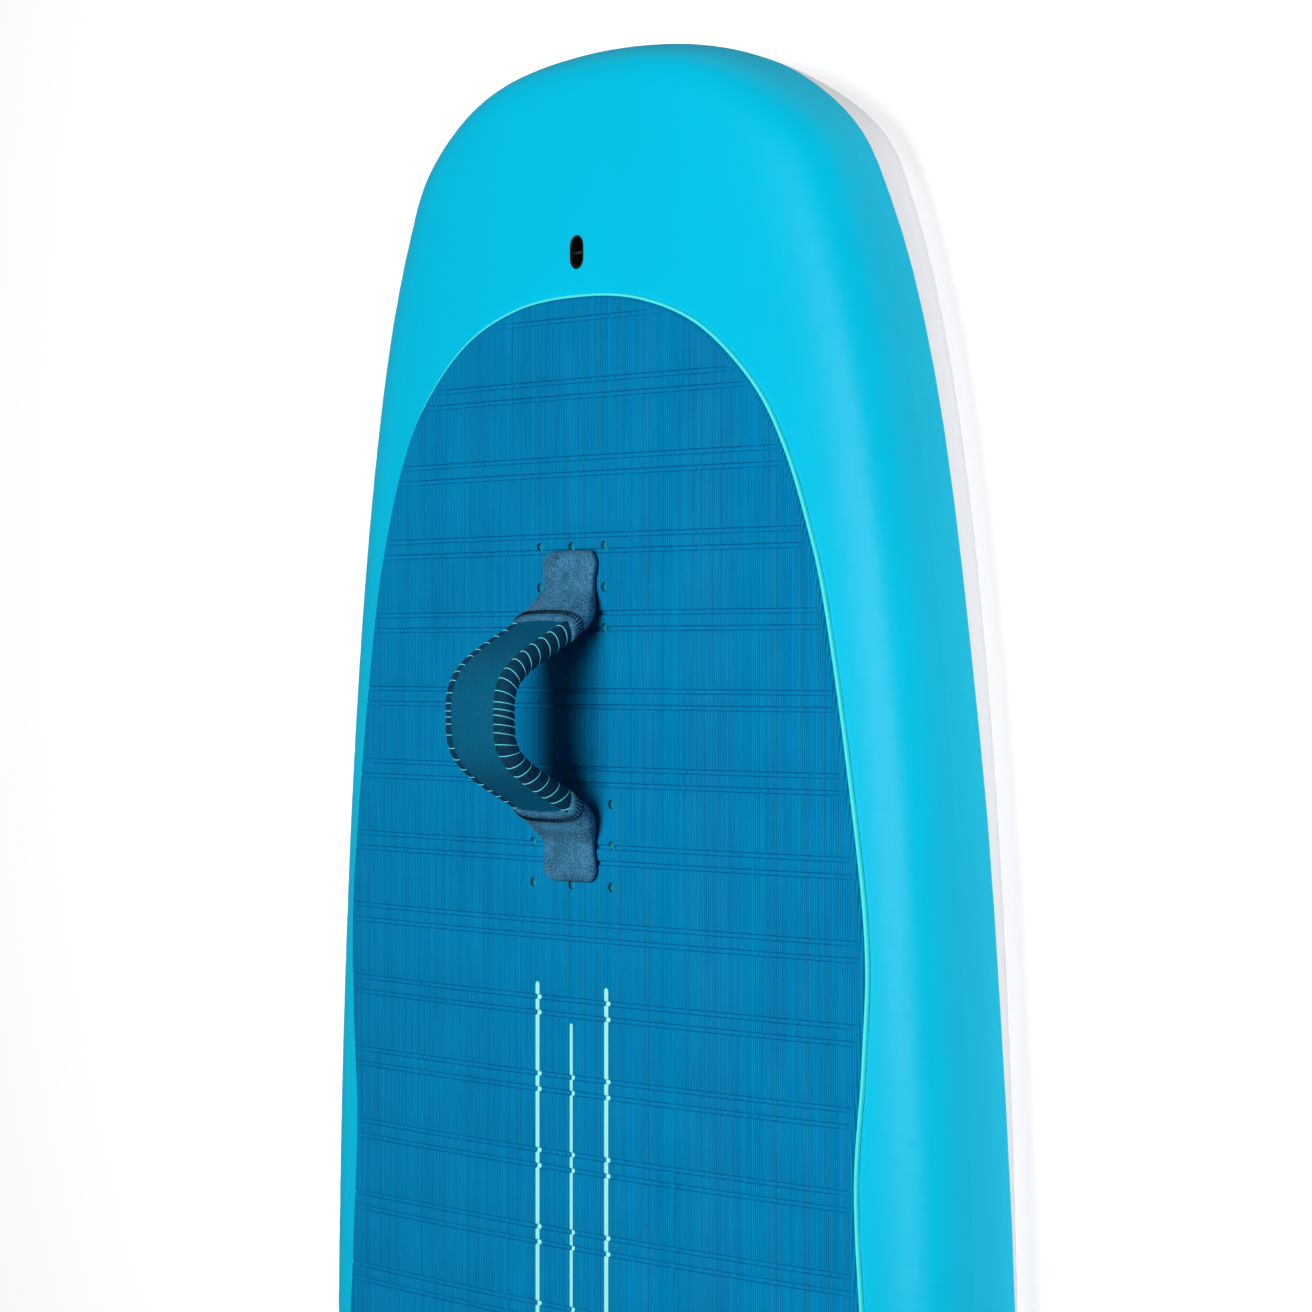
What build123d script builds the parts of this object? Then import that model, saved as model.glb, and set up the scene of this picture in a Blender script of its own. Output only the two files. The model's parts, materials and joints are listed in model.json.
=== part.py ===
from build123d import *
import os
from math import cos, hypot, pi

# A short hard paddleboard with foil tracks, lying on its bottom.
# +X points to the nose, +Y to port, +Z up out of the deck. Millimetres.
# "u" is the distance aft of the nose tip.

# Board
LENGTH = 1905.0
HALF_WIDTH = 398.0
DECK_HEIGHT = 142.0
RAIL_FRACTION = 0.4445
WIDEST = 1150.0
NOSE_POWER = 1.91
NOSE_BLUNT = 4.45
TIP_LENGTH = 90.0
TIP_POWER = 1.5
TIP_BLUNT = 5.12
TAIL_POWER = 2.6
TAIL_BLUNT = 4.0
DECK_CLOSE = 44.0
DECK_CLOSE_POWER = 2.6
DECK_CLOSE_BLUNT = 2.5
BOTTOM_CLOSE = 120.0
BOTTOM_CLOSE_POWER = 2.6
BOTTOM_CLOSE_BLUNT = 1.2
TAIL_CLOSE = 80.0
RAIL_POWER = 16.0
RAIL_SOFTENING = 0.25
RAIL_SOFT_LENGTH = 300.0
RAIL_RAISE = 0.04
RAIL_RAISE_LENGTH = 400.0
EDGE_POWER = 2.2
DECK_CROWN = 18.7
TAIL_LIFT = 22.0
TAIL_LIFT_LENGTH = 400.0
SKIN = 3.0
SANDWICH = 4.0
SANDWICH_MIDDLE = 920.0
SANDWICH_SIZE = (1240.0, 540.0)
SANDWICH_CORNER = 90.0
STATION_COUNT = 36
END_CAP = 0.6

# Height of the line where the deck laminate meets the hull laminate
SEAM = [(-60, 70), (0, 70), (50, 69), (90, 64.5), (150, 58.5), (220, 54), (300, 51), (400, 49), (500, 46.5),
        (600, 42), (740, 38), (950, 28.5), (1300, 22), (1650, 28), (1905, 39), (1965, 40)]

# Deck pad
PAD_BASE = 2.6
PAD_TOP = 2.6
PAD_SURFACE = DECK_HEIGHT + PAD_BASE + PAD_TOP
PAD_FRONT = 200.0
PAD_REAR = 1755.0
PAD_EDGE = [(206, 78), (230, 151), (276, 212), (325, 247), (386, 273), (447, 291), (568, 314), (690, 331),
            (780, 329), (873, 322), (982, 329), (1120, 338), (1300, 333), (1480, 309), (1620, 272),
            (1710, 220), (1748, 130)]
GUIDE_WIDTH = 5.0
GUIDE_FRONT = 743.0
GUIDE_CENTRE_FRONT = 771.0
GUIDE_REAR = 1640.0
TRACK_SPACING = 90.0

# Screw holes for the foot strap, three rows of three in each group
FRONT_HOLES = 428.0
REAR_HOLES = 629.5
HOLE_PITCH = 32.2
FRONT_SPREAD = 42.0
REAR_SPREAD = 51.0
PAD_HOLE_RADIUS = 3.8
SKIN_HOLE_RADIUS = 3.5
SCREW_RADIUS = 3.0
SCREW_DEPTH = 20.0
SCREW_LENGTH = 30.0
INSERT_SIZE = (88.0, 18.0, 27.0)
STRAP_BLOCK = (120.0, 150.0, 48.0)

# Foot strap
STRAP = 529.0
STRAP_HALF = 132.0
TAB_SETBACK = 5.0
STRAP_HEM = 60.0
STRAP_SEAT = PAD_SURFACE + 0.3
STRAP_FOOT = 75.0
STRAP_SHOULDER = 36.0
STRAP_TOP = 94.0
FOOT_BEND = 22.0
SHOULDER_BEND = 38.0
WEBBING = 3.0
WEBBING_WIDTH = 40.0
PANEL = 9.0
PANEL_WIDTH = 50.0
ROLL_RADIUS = 8.5
ROLL_OFFSET = 31.5
COVER = 20.0
COVER_WIDTH = 82.0
HEM_GAP = 0.4
WASHER_RADIUS = 11.0
WASHER = 1.5
HEAD_RADIUS = 5.5
HEAD = 3.0
HEAD_ROUND = 1.2
HEX_RADIUS = 2.2
HEX_DEPTH = 2.0

# Nose plug and leash plug, cups with a bar across them
NOSE_PLUG = 164.0
NOSE_PLUG_SIZE = (27.0, 18.0)
NOSE_PLUG_DEPTH = 24.0
NOSE_WALL = 2.0
NOSE_BAR_RADIUS = 1.6
NOSE_BAR_DEPTH = 5.0
LEASH_PLUG = 1825.0
LEASH_PLUG_RADIUS = 18.0
LEASH_PLUG_DEPTH = 26.0
LEASH_WALL = 4.0
LEASH_FLOOR = 3.0
LEASH_BAR_RADIUS = 2.5
LEASH_BAR_DEPTH = 8.0

# Air vent with a screw cap
VENT = 1783.0
VENT_RADIUS = 15.0
VENT_FLANGE = 8.0
VENT_STEM_RADIUS = 9.5
VENT_DEPTH = 28.0
VENT_BORE = 5.0
MEMBRANE = 0.6
CAP_RADIUS = 11.0
CAP_SEAT = 5.5
CAP_LIFT = 2.3
CAP_THICKNESS = 2.9
CAP_ROUND = 0.8
CAP_STEM_REACH = 24.0
CAP_CLEARANCE = 0.4
COIN_SLOT = (15.0, 2.6)
COIN_SLOT_DEPTH = 1.9
RING_RADIUS = 6.3
RING_THICKNESS = 2.0
RING_LIFT = 1.2

# Foil tracks in the bottom
TRACKS = 1255.0
TRACK_LENGTH = 280.0
TRACK_WIDTH = 26.0
TRACK_DEPTH = 26.0
TRACK_END = 12.0
TRACK_CORNER = 6.0
SLOT_WIDTH = 9.8
SLOT_DEPTH = 20.0
CHANNEL_WIDTH = 17.0
CHANNEL_HEIGHT = 7.0
LIP = 5.0
FOIL_BLOCK = (340.0, 180.0, 70.0)
NUT_SPACING = 165.0
NUT = (25.0, 16.2, 6.0)
NUT_CORNER = 2.0
NUT_BORE = 3.4
NUT_PLAY = 0.5
NUT_TONGUE = 2.5
MOUTH_CLEARANCE = 4.0


def x_at(u):
    return LENGTH / 2 - u


def half_width(u):
    if u >= WIDEST:
        aft = (u - WIDEST) / (LENGTH - WIDEST)
        return HALF_WIDTH * (1 - aft**TAIL_POWER) ** (1 / TAIL_BLUNT)
    taper = (1 - (1 - u / WIDEST) ** NOSE_POWER) ** (1 / NOSE_BLUNT)
    tip = (1 - max(0.0, 1 - u / TIP_LENGTH) ** TIP_POWER) ** (1 / TIP_BLUNT)
    return HALF_WIDTH * taper * tip


def bottom_line(u):
    return TAIL_LIFT * max(0.0, 1 - (LENGTH - u) / TAIL_LIFT_LENGTH) ** 2


def tail_closing(u):
    """How far the thickness has opened up forward of the tail, from 0 to 1."""
    return (1 - max(0.0, 1 - (LENGTH - u) / TAIL_CLOSE) ** 2) ** 0.5


def deck_closing(u):
    """How far the half above the rail has opened up, from 0 at an end to 1."""
    nose = (1 - max(0.0, 1 - u / DECK_CLOSE) ** DECK_CLOSE_POWER) ** (1 / DECK_CLOSE_BLUNT)
    return nose * tail_closing(u)


def bottom_closing(u):
    """How far the half below the rail has opened up, from 0 at an end to 1."""
    nose = (1 - max(0.0, 1 - u / BOTTOM_CLOSE) ** BOTTOM_CLOSE_POWER) ** (1 / BOTTOM_CLOSE_BLUNT)
    return nose * tail_closing(u)


def rail_line(u):
    """Height of the widest line of the section."""
    fraction = RAIL_FRACTION - RAIL_RAISE * max(0.0, 1 - u / RAIL_RAISE_LENGTH) ** 2
    return DECK_HEIGHT - fraction * (DECK_HEIGHT - bottom_line(u))


def rail_power(u):
    """Squareness of the section, softer towards the nose."""
    softness = RAIL_SOFTENING * max(0.0, 1 - u / RAIL_SOFT_LENGTH) ** 2
    return max(EDGE_POWER, RAIL_POWER * (1 - softness) * half_width(u) / HALF_WIDTH)


def edge_height(ratio, power):
    return (1 - ratio**power) ** (1 / EDGE_POWER)


def section_ratios():
    rising = [0.0, 0.25, 0.48, 0.66, 0.79, 0.875, 0.925, 0.957, 0.977, 0.989, 0.9955, 0.9988]
    return [-r for r in reversed(rising)] + rising[1:]


def deck_height(u, y):
    """Height of the deck surface at a distance y off the centreline."""
    shape = edge_height(abs(y) / half_width(u), rail_power(u))
    rise = DECK_HEIGHT - rail_line(u) - DECK_CROWN * (y / HALF_WIDTH) ** 2
    return rail_line(u) + rise * deck_closing(u) * shape


def section_points(u, inset=0.0):
    """Points over the deck and under the bottom, for the board or for the foam inside its skins."""
    scale_y = (HALF_WIDTH - inset) / HALF_WIDTH
    scale_z = 1 - inset / (RAIL_FRACTION * DECK_HEIGHT)
    width = half_width(u)
    middle = rail_line(u)
    fall = (middle - bottom_line(u)) * bottom_closing(u)
    upper = [(-width * scale_y, middle)]
    lower = [(width * scale_y, middle)]
    for ratio in section_ratios():
        rise = deck_height(u, ratio * width) - middle
        drop = fall * edge_height(abs(ratio), rail_power(u))
        upper.append((ratio * width * scale_y, middle + rise * scale_z))
        lower.append((-ratio * width * scale_y, middle - drop * scale_z))
    upper.append((width * scale_y, middle))
    lower.append((-width * scale_y, middle))
    return upper, lower


def spline_parameters():
    """One spacing along the section for every station, taken at the widest one."""
    upper = section_points(WIDEST)[0]
    steps = [hypot(b[0] - a[0], b[1] - a[1]) for a, b in zip(upper, upper[1:])]
    return [sum(steps[:k]) / sum(steps) for k in range(len(upper))]


def hull_section(u, inset=0.0):
    upper, lower = section_points(u, inset)
    scale_x = (LENGTH / 2 - inset) / (LENGTH / 2)
    with BuildSketch(Plane.YZ.offset(x_at(u) * scale_x)) as section:
        with BuildLine():
            add(Edge.make_spline(upper, parameters=spline_parameters()))
            add(Edge.make_spline(lower, parameters=spline_parameters()))
        make_face()
    return section.sketch


def stations():
    span = LENGTH - 2 * END_CAP
    return [END_CAP + span * (1 - cos(pi * k / STATION_COUNT)) / 2 for k in range(STATION_COUNT + 1)]


def save(part, name):
    part.label = name
    export_step(part, f"parts/{name}.step")


def screw_rows(middle_row):
    return [x_at(middle_row + k * HOLE_PITCH) for k in (-1, 0, 1)]


def screw_places(middle_row, spread):
    """Places of one group of strap holes."""
    return [(x, y, 0) for x in screw_rows(middle_row) for y in (-spread, 0, spread)]


def pad_outline():
    """Outline of the deck pad, symmetrical about the centreline."""
    port = [(x_at(u), half) for u, half in PAD_EDGE]
    starboard = [(x, -y) for x, y in reversed(port)]
    with BuildSketch() as outline:
        with BuildLine():
            Spline((x_at(PAD_FRONT), 0), *port, (x_at(PAD_REAR), 0), *starboard, periodic=True)
        make_face()
    return outline.sketch


def deck_form(height):
    """Everything under a surface that lies a little above the deck, within reach of the pad."""
    ratios = (0.0, 0.3, 0.52, 0.68, 0.78, 0.84, 0.88, 0.92)
    across = [-r for r in reversed(ratios)] + list(ratios[1:])
    faces = []
    for u in (PAD_FRONT - 60, 200, 280, 380, 520, 700, 900, 1100, 1300, 1500, 1660, PAD_REAR + 45):
        points = [(r * half_width(u), deck_height(u, r * half_width(u)) + height) for r in across]
        low = points[0][0], DECK_HEIGHT / 2
        with BuildSketch(Plane.YZ.offset(x_at(u))) as section:
            with BuildLine():
                add(Edge.make_spline(points, parameters=across_parameters(across)))
                Polyline(points[-1], (-low[0], low[1]), low, points[0])
            make_face()
        faces.append(section.sketch)
    with BuildPart() as form:
        loft(sections=faces)
    return form.part


def across_parameters(across):
    return [(r - across[0]) / (across[-1] - across[0]) for r in across]


def strap_line():
    """Centre line of the strap seen from the side: flat ends, steep legs and a rounded top."""
    middle = x_at(STRAP)
    base = STRAP_SEAT + WEBBING / 2
    legs = [(STRAP_HALF, base), (STRAP_FOOT, base), (STRAP_SHOULDER, DECK_HEIGHT + STRAP_TOP)]
    front = [(middle + d, z) for d, z in legs]
    rear = [(middle - d, z) for d, z in reversed(legs)]
    return FilletPolyline(*front, *rear, radius=[FOOT_BEND, SHOULDER_BEND, SHOULDER_BEND, FOOT_BEND])


def strap_band(thickness, width):
    """The strap line thickened and widened to a flat band."""
    with BuildPart() as band:
        with BuildSketch(Plane.XZ):
            with BuildLine():
                strap_line()
            trace(line_width=thickness)
        extrude(amount=width / 2, both=True)
    return band.part


def slab(near, far):
    """Everything across the board between two distances aft of the nose."""
    return Pos(x_at((near + far) / 2), 0, 0) * Box(far - near, 2 * LENGTH, 2 * LENGTH)


def raised(form, height):
    return Pos(0, 0, height) * form.part


os.makedirs("parts", exist_ok=True)
HOLES = screw_places(FRONT_HOLES, FRONT_SPREAD) + screw_places(REAR_HOLES, REAR_SPREAD)
STRAP_SCREWS = {"front": FRONT_HOLES, "rear": REAR_HOLES}
TOP_DOWN = (Align.CENTER, Align.CENTER, Align.MAX)
BOTTOM_UP = (Align.CENTER, Align.CENTER, Align.MIN)

# Forms of the whole board, of the foam inside it and of what lies under the seam
with BuildPart() as hull_form:
    loft(sections=[hull_section(u) for u in stations()])

with BuildPart() as core_form:
    loft(sections=[hull_section(u, SKIN) for u in stations()])

with BuildPart() as below_seam:
    with BuildSketch(Plane.XZ):
        with BuildLine():
            seam = Spline(*[(x_at(u), z) for u, z in SEAM])
            Polyline(seam @ 1, (x_at(SEAM[-1][0]), -SKIN), (x_at(SEAM[0][0]), -SKIN), seam @ 0)
        make_face()
    extrude(amount=LENGTH, both=True)

with BuildPart() as holes_form:
    with Locations(*HOLES):
        Cylinder(PAD_HOLE_RADIUS, 2 * PAD_SURFACE)

with BuildPart() as skin_holes_form:
    with Locations(*HOLES):
        Cylinder(SKIN_HOLE_RADIUS, 2 * PAD_SURFACE)
    add(below_seam.part, mode=Mode.SUBTRACT)

with BuildPart() as insert_holes_form:
    with Locations(*[(x, y, DECK_HEIGHT - SKIN - SCREW_DEPTH) for x, y, z in HOLES]):
        Cylinder(SCREW_RADIUS, DECK_HEIGHT, align=BOTTOM_UP)

# Nose plug
with BuildPart() as nose_plug_form:
    with BuildSketch(Plane.XY.offset(DECK_HEIGHT - NOSE_PLUG_DEPTH)):
        with Locations((x_at(NOSE_PLUG), 0)):
            SlotOverall(*NOSE_PLUG_SIZE)
    extrude(amount=2 * NOSE_PLUG_DEPTH)
    add(hull_form.part, mode=Mode.INTERSECT)

with BuildPart() as nose_plug_pin:
    with BuildSketch(Plane.XZ):
        with Locations((x_at(NOSE_PLUG), deck_height(NOSE_PLUG, 0) - NOSE_BAR_DEPTH)):
            Circle(NOSE_BAR_RADIUS)
    extrude(amount=NOSE_PLUG_SIZE[1] / 2 - 0.5, both=True)

with BuildPart() as nose_plug_cup:
    add(nose_plug_form.part)
    with BuildSketch(Plane.XY.offset(DECK_HEIGHT - NOSE_PLUG_DEPTH + NOSE_WALL)):
        with Locations((x_at(NOSE_PLUG), 0)):
            SlotOverall(NOSE_PLUG_SIZE[0] - 2 * NOSE_WALL, NOSE_PLUG_SIZE[1] - 2 * NOSE_WALL)
    extrude(amount=NOSE_PLUG_DEPTH, mode=Mode.SUBTRACT)
    add(nose_plug_pin.part, mode=Mode.SUBTRACT)

# Leash plug at the tail
with BuildPart() as leash_plug_form:
    with Locations((x_at(LEASH_PLUG), 0, DECK_HEIGHT - LEASH_PLUG_DEPTH)):
        Cylinder(LEASH_PLUG_RADIUS, 2 * LEASH_PLUG_DEPTH, align=BOTTOM_UP)
    add(hull_form.part, mode=Mode.INTERSECT)

with BuildPart() as leash_plug_pin:
    with BuildSketch(Plane.XZ):
        with Locations((x_at(LEASH_PLUG), deck_height(LEASH_PLUG, 0) - LEASH_BAR_DEPTH)):
            Circle(LEASH_BAR_RADIUS)
    extrude(amount=LEASH_PLUG_RADIUS - 1.5, both=True)

with BuildPart() as leash_plug_cup:
    add(leash_plug_form.part)
    with Locations((x_at(LEASH_PLUG), 0, DECK_HEIGHT - LEASH_PLUG_DEPTH + LEASH_FLOOR)):
        Cylinder(LEASH_PLUG_RADIUS - LEASH_WALL, LEASH_PLUG_DEPTH, align=BOTTOM_UP, mode=Mode.SUBTRACT)
    add(leash_plug_pin.part, mode=Mode.SUBTRACT)

# Air vent: a flanged sleeve, a membrane, a seal and a cap
with BuildPart() as vent_form:
    with Locations((x_at(VENT), 0, DECK_HEIGHT - VENT_FLANGE)):
        Cylinder(VENT_RADIUS, 2 * VENT_FLANGE, align=BOTTOM_UP)
    with Locations((x_at(VENT), 0, DECK_HEIGHT - VENT_DEPTH)):
        Cylinder(VENT_STEM_RADIUS, VENT_DEPTH, align=BOTTOM_UP)
    add(hull_form.part, mode=Mode.INTERSECT)

with BuildPart() as vent_body:
    add(vent_form.part)
    with Locations((x_at(VENT), 0, DECK_HEIGHT)):
        Cylinder(VENT_BORE, 3 * VENT_DEPTH, mode=Mode.SUBTRACT)
    with Locations((x_at(VENT), 0, DECK_HEIGHT - CAP_SEAT)):
        Cylinder(CAP_RADIUS + CAP_CLEARANCE, VENT_FLANGE, align=BOTTOM_UP, mode=Mode.SUBTRACT)

with BuildPart() as vent_membrane:
    with Locations((x_at(VENT), 0, DECK_HEIGHT - VENT_DEPTH)):
        Cylinder(VENT_BORE, MEMBRANE, align=BOTTOM_UP)

with BuildPart() as vent_oring:
    with Locations((x_at(VENT), 0, DECK_HEIGHT - CAP_SEAT + RING_LIFT)):
        Torus(RING_RADIUS, RING_THICKNESS / 2)

with BuildPart() as vent_cap:
    with Locations((x_at(VENT), 0, DECK_HEIGHT - CAP_SEAT + CAP_LIFT)):
        Cylinder(CAP_RADIUS, CAP_THICKNESS, align=BOTTOM_UP)
    with Locations((x_at(VENT), 0, DECK_HEIGHT - CAP_STEM_REACH)):
        Cylinder(VENT_BORE - 0.3, CAP_STEM_REACH - CAP_LIFT + 0.3, align=BOTTOM_UP)
    fillet(vent_cap.edges().sort_by(Axis.Z)[-1], CAP_ROUND)
    with Locations((x_at(VENT), 0, DECK_HEIGHT - COIN_SLOT_DEPTH)):
        Box(*COIN_SLOT, VENT_FLANGE, align=BOTTOM_UP, mode=Mode.SUBTRACT)

# Foil tracks, their block and their slot nuts
with BuildPart() as tracks_form:
    with BuildSketch(Plane.XY.offset(-1)):
        with Locations((x_at(TRACKS), TRACK_SPACING / 2), (x_at(TRACKS), -TRACK_SPACING / 2)):
            RectangleRounded(TRACK_LENGTH, TRACK_WIDTH, TRACK_CORNER)
    extrude(amount=TRACK_DEPTH + 1)

with BuildPart() as foil_block:
    with Locations((x_at(TRACKS), 0, 0)):
        Box(*FOIL_BLOCK, align=BOTTOM_UP)
    add(core_form.part, mode=Mode.INTERSECT)
    add(tracks_form.part, mode=Mode.SUBTRACT)

for side, y in (("port", TRACK_SPACING / 2), ("starboard", -TRACK_SPACING / 2)):
    with BuildPart() as foil_track:
        with BuildSketch():
            with Locations((x_at(TRACKS), y)):
                RectangleRounded(TRACK_LENGTH, TRACK_WIDTH, TRACK_CORNER)
        extrude(amount=TRACK_DEPTH)
        run = TRACK_LENGTH - 2 * TRACK_END
        with Locations((x_at(TRACKS), y, 0)):
            Box(run, SLOT_WIDTH, SLOT_DEPTH, align=BOTTOM_UP, mode=Mode.SUBTRACT)
            Box(NUT[0] + MOUTH_CLEARANCE, CHANNEL_WIDTH, LIP, align=BOTTOM_UP, mode=Mode.SUBTRACT)
        with Locations((x_at(TRACKS), y, LIP)):
            Box(run, CHANNEL_WIDTH, CHANNEL_HEIGHT, align=BOTTOM_UP, mode=Mode.SUBTRACT)
    save(foil_track.part, f"foil_track_{side}")
    for end, along in (("front", NUT_SPACING / 2), ("rear", -NUT_SPACING / 2)):
        with BuildPart() as foil_nut:
            with Locations((x_at(TRACKS) + along, y, LIP + NUT_PLAY)):
                Box(*NUT, align=BOTTOM_UP)
                Box(NUT[0], SLOT_WIDTH - 0.8, NUT_TONGUE, align=TOP_DOWN)
            fillet(foil_nut.edges().filter_by(Axis.Z).group_by(SortBy.LENGTH)[-1], NUT_CORNER)
            with Locations((x_at(TRACKS) + along, y, LIP)):
                Cylinder(NUT_BORE, 20, mode=Mode.SUBTRACT)
        save(foil_nut.part, f"foil_nut_{side}_{end}")

# Blocks and strips that the strap screws bite into
for end, row, spread in (("front", FRONT_HOLES, FRONT_SPREAD), ("rear", REAR_HOLES, REAR_SPREAD)):
    with BuildPart() as strap_block:
        with Locations((x_at(row), 0, DECK_HEIGHT)):
            Box(*STRAP_BLOCK, align=TOP_DOWN)
        with Locations(*[(x_at(row), y, DECK_HEIGHT) for y in (-spread, 0, spread)]):
            Box(*INSERT_SIZE, align=TOP_DOWN, mode=Mode.SUBTRACT)
        add(core_form.part, mode=Mode.INTERSECT)
    save(strap_block.part, f"strap_block_{end}")
    for side, y in (("port", spread), ("centre", 0), ("starboard", -spread)):
        with BuildPart() as insert:
            with Locations((x_at(row), y, DECK_HEIGHT)):
                Box(*INSERT_SIZE, align=TOP_DOWN)
            add(core_form.part, mode=Mode.INTERSECT)
            add(insert_holes_form.part, mode=Mode.SUBTRACT)
        save(insert.part, f"insert_{end}_{side}")

with BuildPart() as strap_blocks_form:
    with Locations((x_at(FRONT_HOLES), 0, DECK_HEIGHT), (x_at(REAR_HOLES), 0, DECK_HEIGHT)):
        Box(*STRAP_BLOCK, align=TOP_DOWN)

# Stiff sheet under the deck where the rider stands
with BuildPart() as sandwich_form:
    with BuildSketch(Plane.XY.offset(DECK_HEIGHT / 2)):
        with Locations((x_at(SANDWICH_MIDDLE), 0)):
            RectangleRounded(*SANDWICH_SIZE, SANDWICH_CORNER)
    extrude(amount=DECK_HEIGHT)
    add(core_form.part, mode=Mode.INTERSECT)
    add(raised(core_form, -SANDWICH), mode=Mode.SUBTRACT)

with BuildPart() as standing_sandwich:
    add(sandwich_form.part)
    add(strap_blocks_form.part, mode=Mode.SUBTRACT)

# Foam and laminates
with BuildPart() as foam_core:
    add(core_form.part)
    add(sandwich_form.part, mode=Mode.SUBTRACT)
    add(strap_blocks_form.part, mode=Mode.SUBTRACT)
    with Locations((x_at(TRACKS), 0, 0)):
        Box(*FOIL_BLOCK, align=BOTTOM_UP, mode=Mode.SUBTRACT)
    for form in (nose_plug_form, leash_plug_form, vent_form):
        add(form.part, mode=Mode.SUBTRACT)

with BuildPart() as deck_skin:
    add(hull_form.part)
    add(core_form.part, mode=Mode.SUBTRACT)
    add(below_seam.part, mode=Mode.SUBTRACT)
    for form in (skin_holes_form, nose_plug_form, leash_plug_form, vent_form):
        add(form.part, mode=Mode.SUBTRACT)

with BuildPart() as hull_skin:
    add(hull_form.part)
    add(core_form.part, mode=Mode.SUBTRACT)
    add(below_seam.part, mode=Mode.INTERSECT)
    add(tracks_form.part, mode=Mode.SUBTRACT)

# Deck pad: a light base layer and a dark top layer with three inlaid guide lines
pad_middle_form = deck_form(PAD_BASE)

with BuildPart() as pad_base:
    add(pad_outline())
    extrude(amount=2 * DECK_HEIGHT)
    add(pad_middle_form, mode=Mode.INTERSECT)
    add(hull_form.part, mode=Mode.SUBTRACT)
    add(holes_form.part, mode=Mode.SUBTRACT)

pad_surface_form = deck_form(PAD_BASE + PAD_TOP)

with BuildPart() as pad_top_form:
    add(pad_outline())
    extrude(amount=2 * DECK_HEIGHT)
    add(pad_surface_form, mode=Mode.INTERSECT)
    add(pad_middle_form, mode=Mode.SUBTRACT)
    add(holes_form.part, mode=Mode.SUBTRACT)

GUIDES = {
    "port": (TRACK_SPACING / 2, GUIDE_FRONT),
    "centre": (0, GUIDE_CENTRE_FRONT),
    "starboard": (-TRACK_SPACING / 2, GUIDE_FRONT),
}

with BuildPart() as guides_form:
    with BuildSketch():
        for y, front in GUIDES.values():
            with Locations((x_at((front + GUIDE_REAR) / 2), y)):
                SlotOverall(GUIDE_REAR - front, GUIDE_WIDTH)
    extrude(amount=2 * DECK_HEIGHT)

with BuildPart() as pad_top:
    add(pad_top_form.part)
    add(guides_form.part, mode=Mode.SUBTRACT)

for side, (y, front) in GUIDES.items():
    with BuildPart() as guide_line:
        with BuildSketch():
            with Locations((x_at((front + GUIDE_REAR) / 2), y)):
                SlotOverall(GUIDE_REAR - front, GUIDE_WIDTH)
        extrude(amount=2 * DECK_HEIGHT)
        add(pad_top_form.part, mode=Mode.INTERSECT)
    save(guide_line.part, f"guide_line_{side}")

# Foot strap: webbing, padded panel and two thick rolled edges
webbing_form = strap_band(WEBBING, WEBBING_WIDTH)
ARCH = slab(STRAP - STRAP_HEM, STRAP + STRAP_HEM)

with BuildPart() as strap_core:
    add(webbing_form)
    add(ARCH, mode=Mode.INTERSECT)

rolls = []
for side, y in (("port", ROLL_OFFSET), ("starboard", -ROLL_OFFSET)):
    with BuildPart() as strap_roll:
        with BuildLine(Plane.XZ.offset(-y)) as path:
            strap_line()
        with BuildSketch(Plane(origin=path.line @ 0, z_dir=path.line % 0)):
            Circle(ROLL_RADIUS)
        sweep()
        add(ARCH, mode=Mode.INTERSECT)
    save(strap_roll.part, f"strap_roll_{side}")
    rolls.append(strap_roll.part)

with BuildPart() as strap_panel:
    add(strap_band(PANEL, PANEL_WIDTH))
    add(ARCH, mode=Mode.INTERSECT)
    add(strap_core.part, mode=Mode.SUBTRACT)
    add(rolls, mode=Mode.SUBTRACT)

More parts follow.
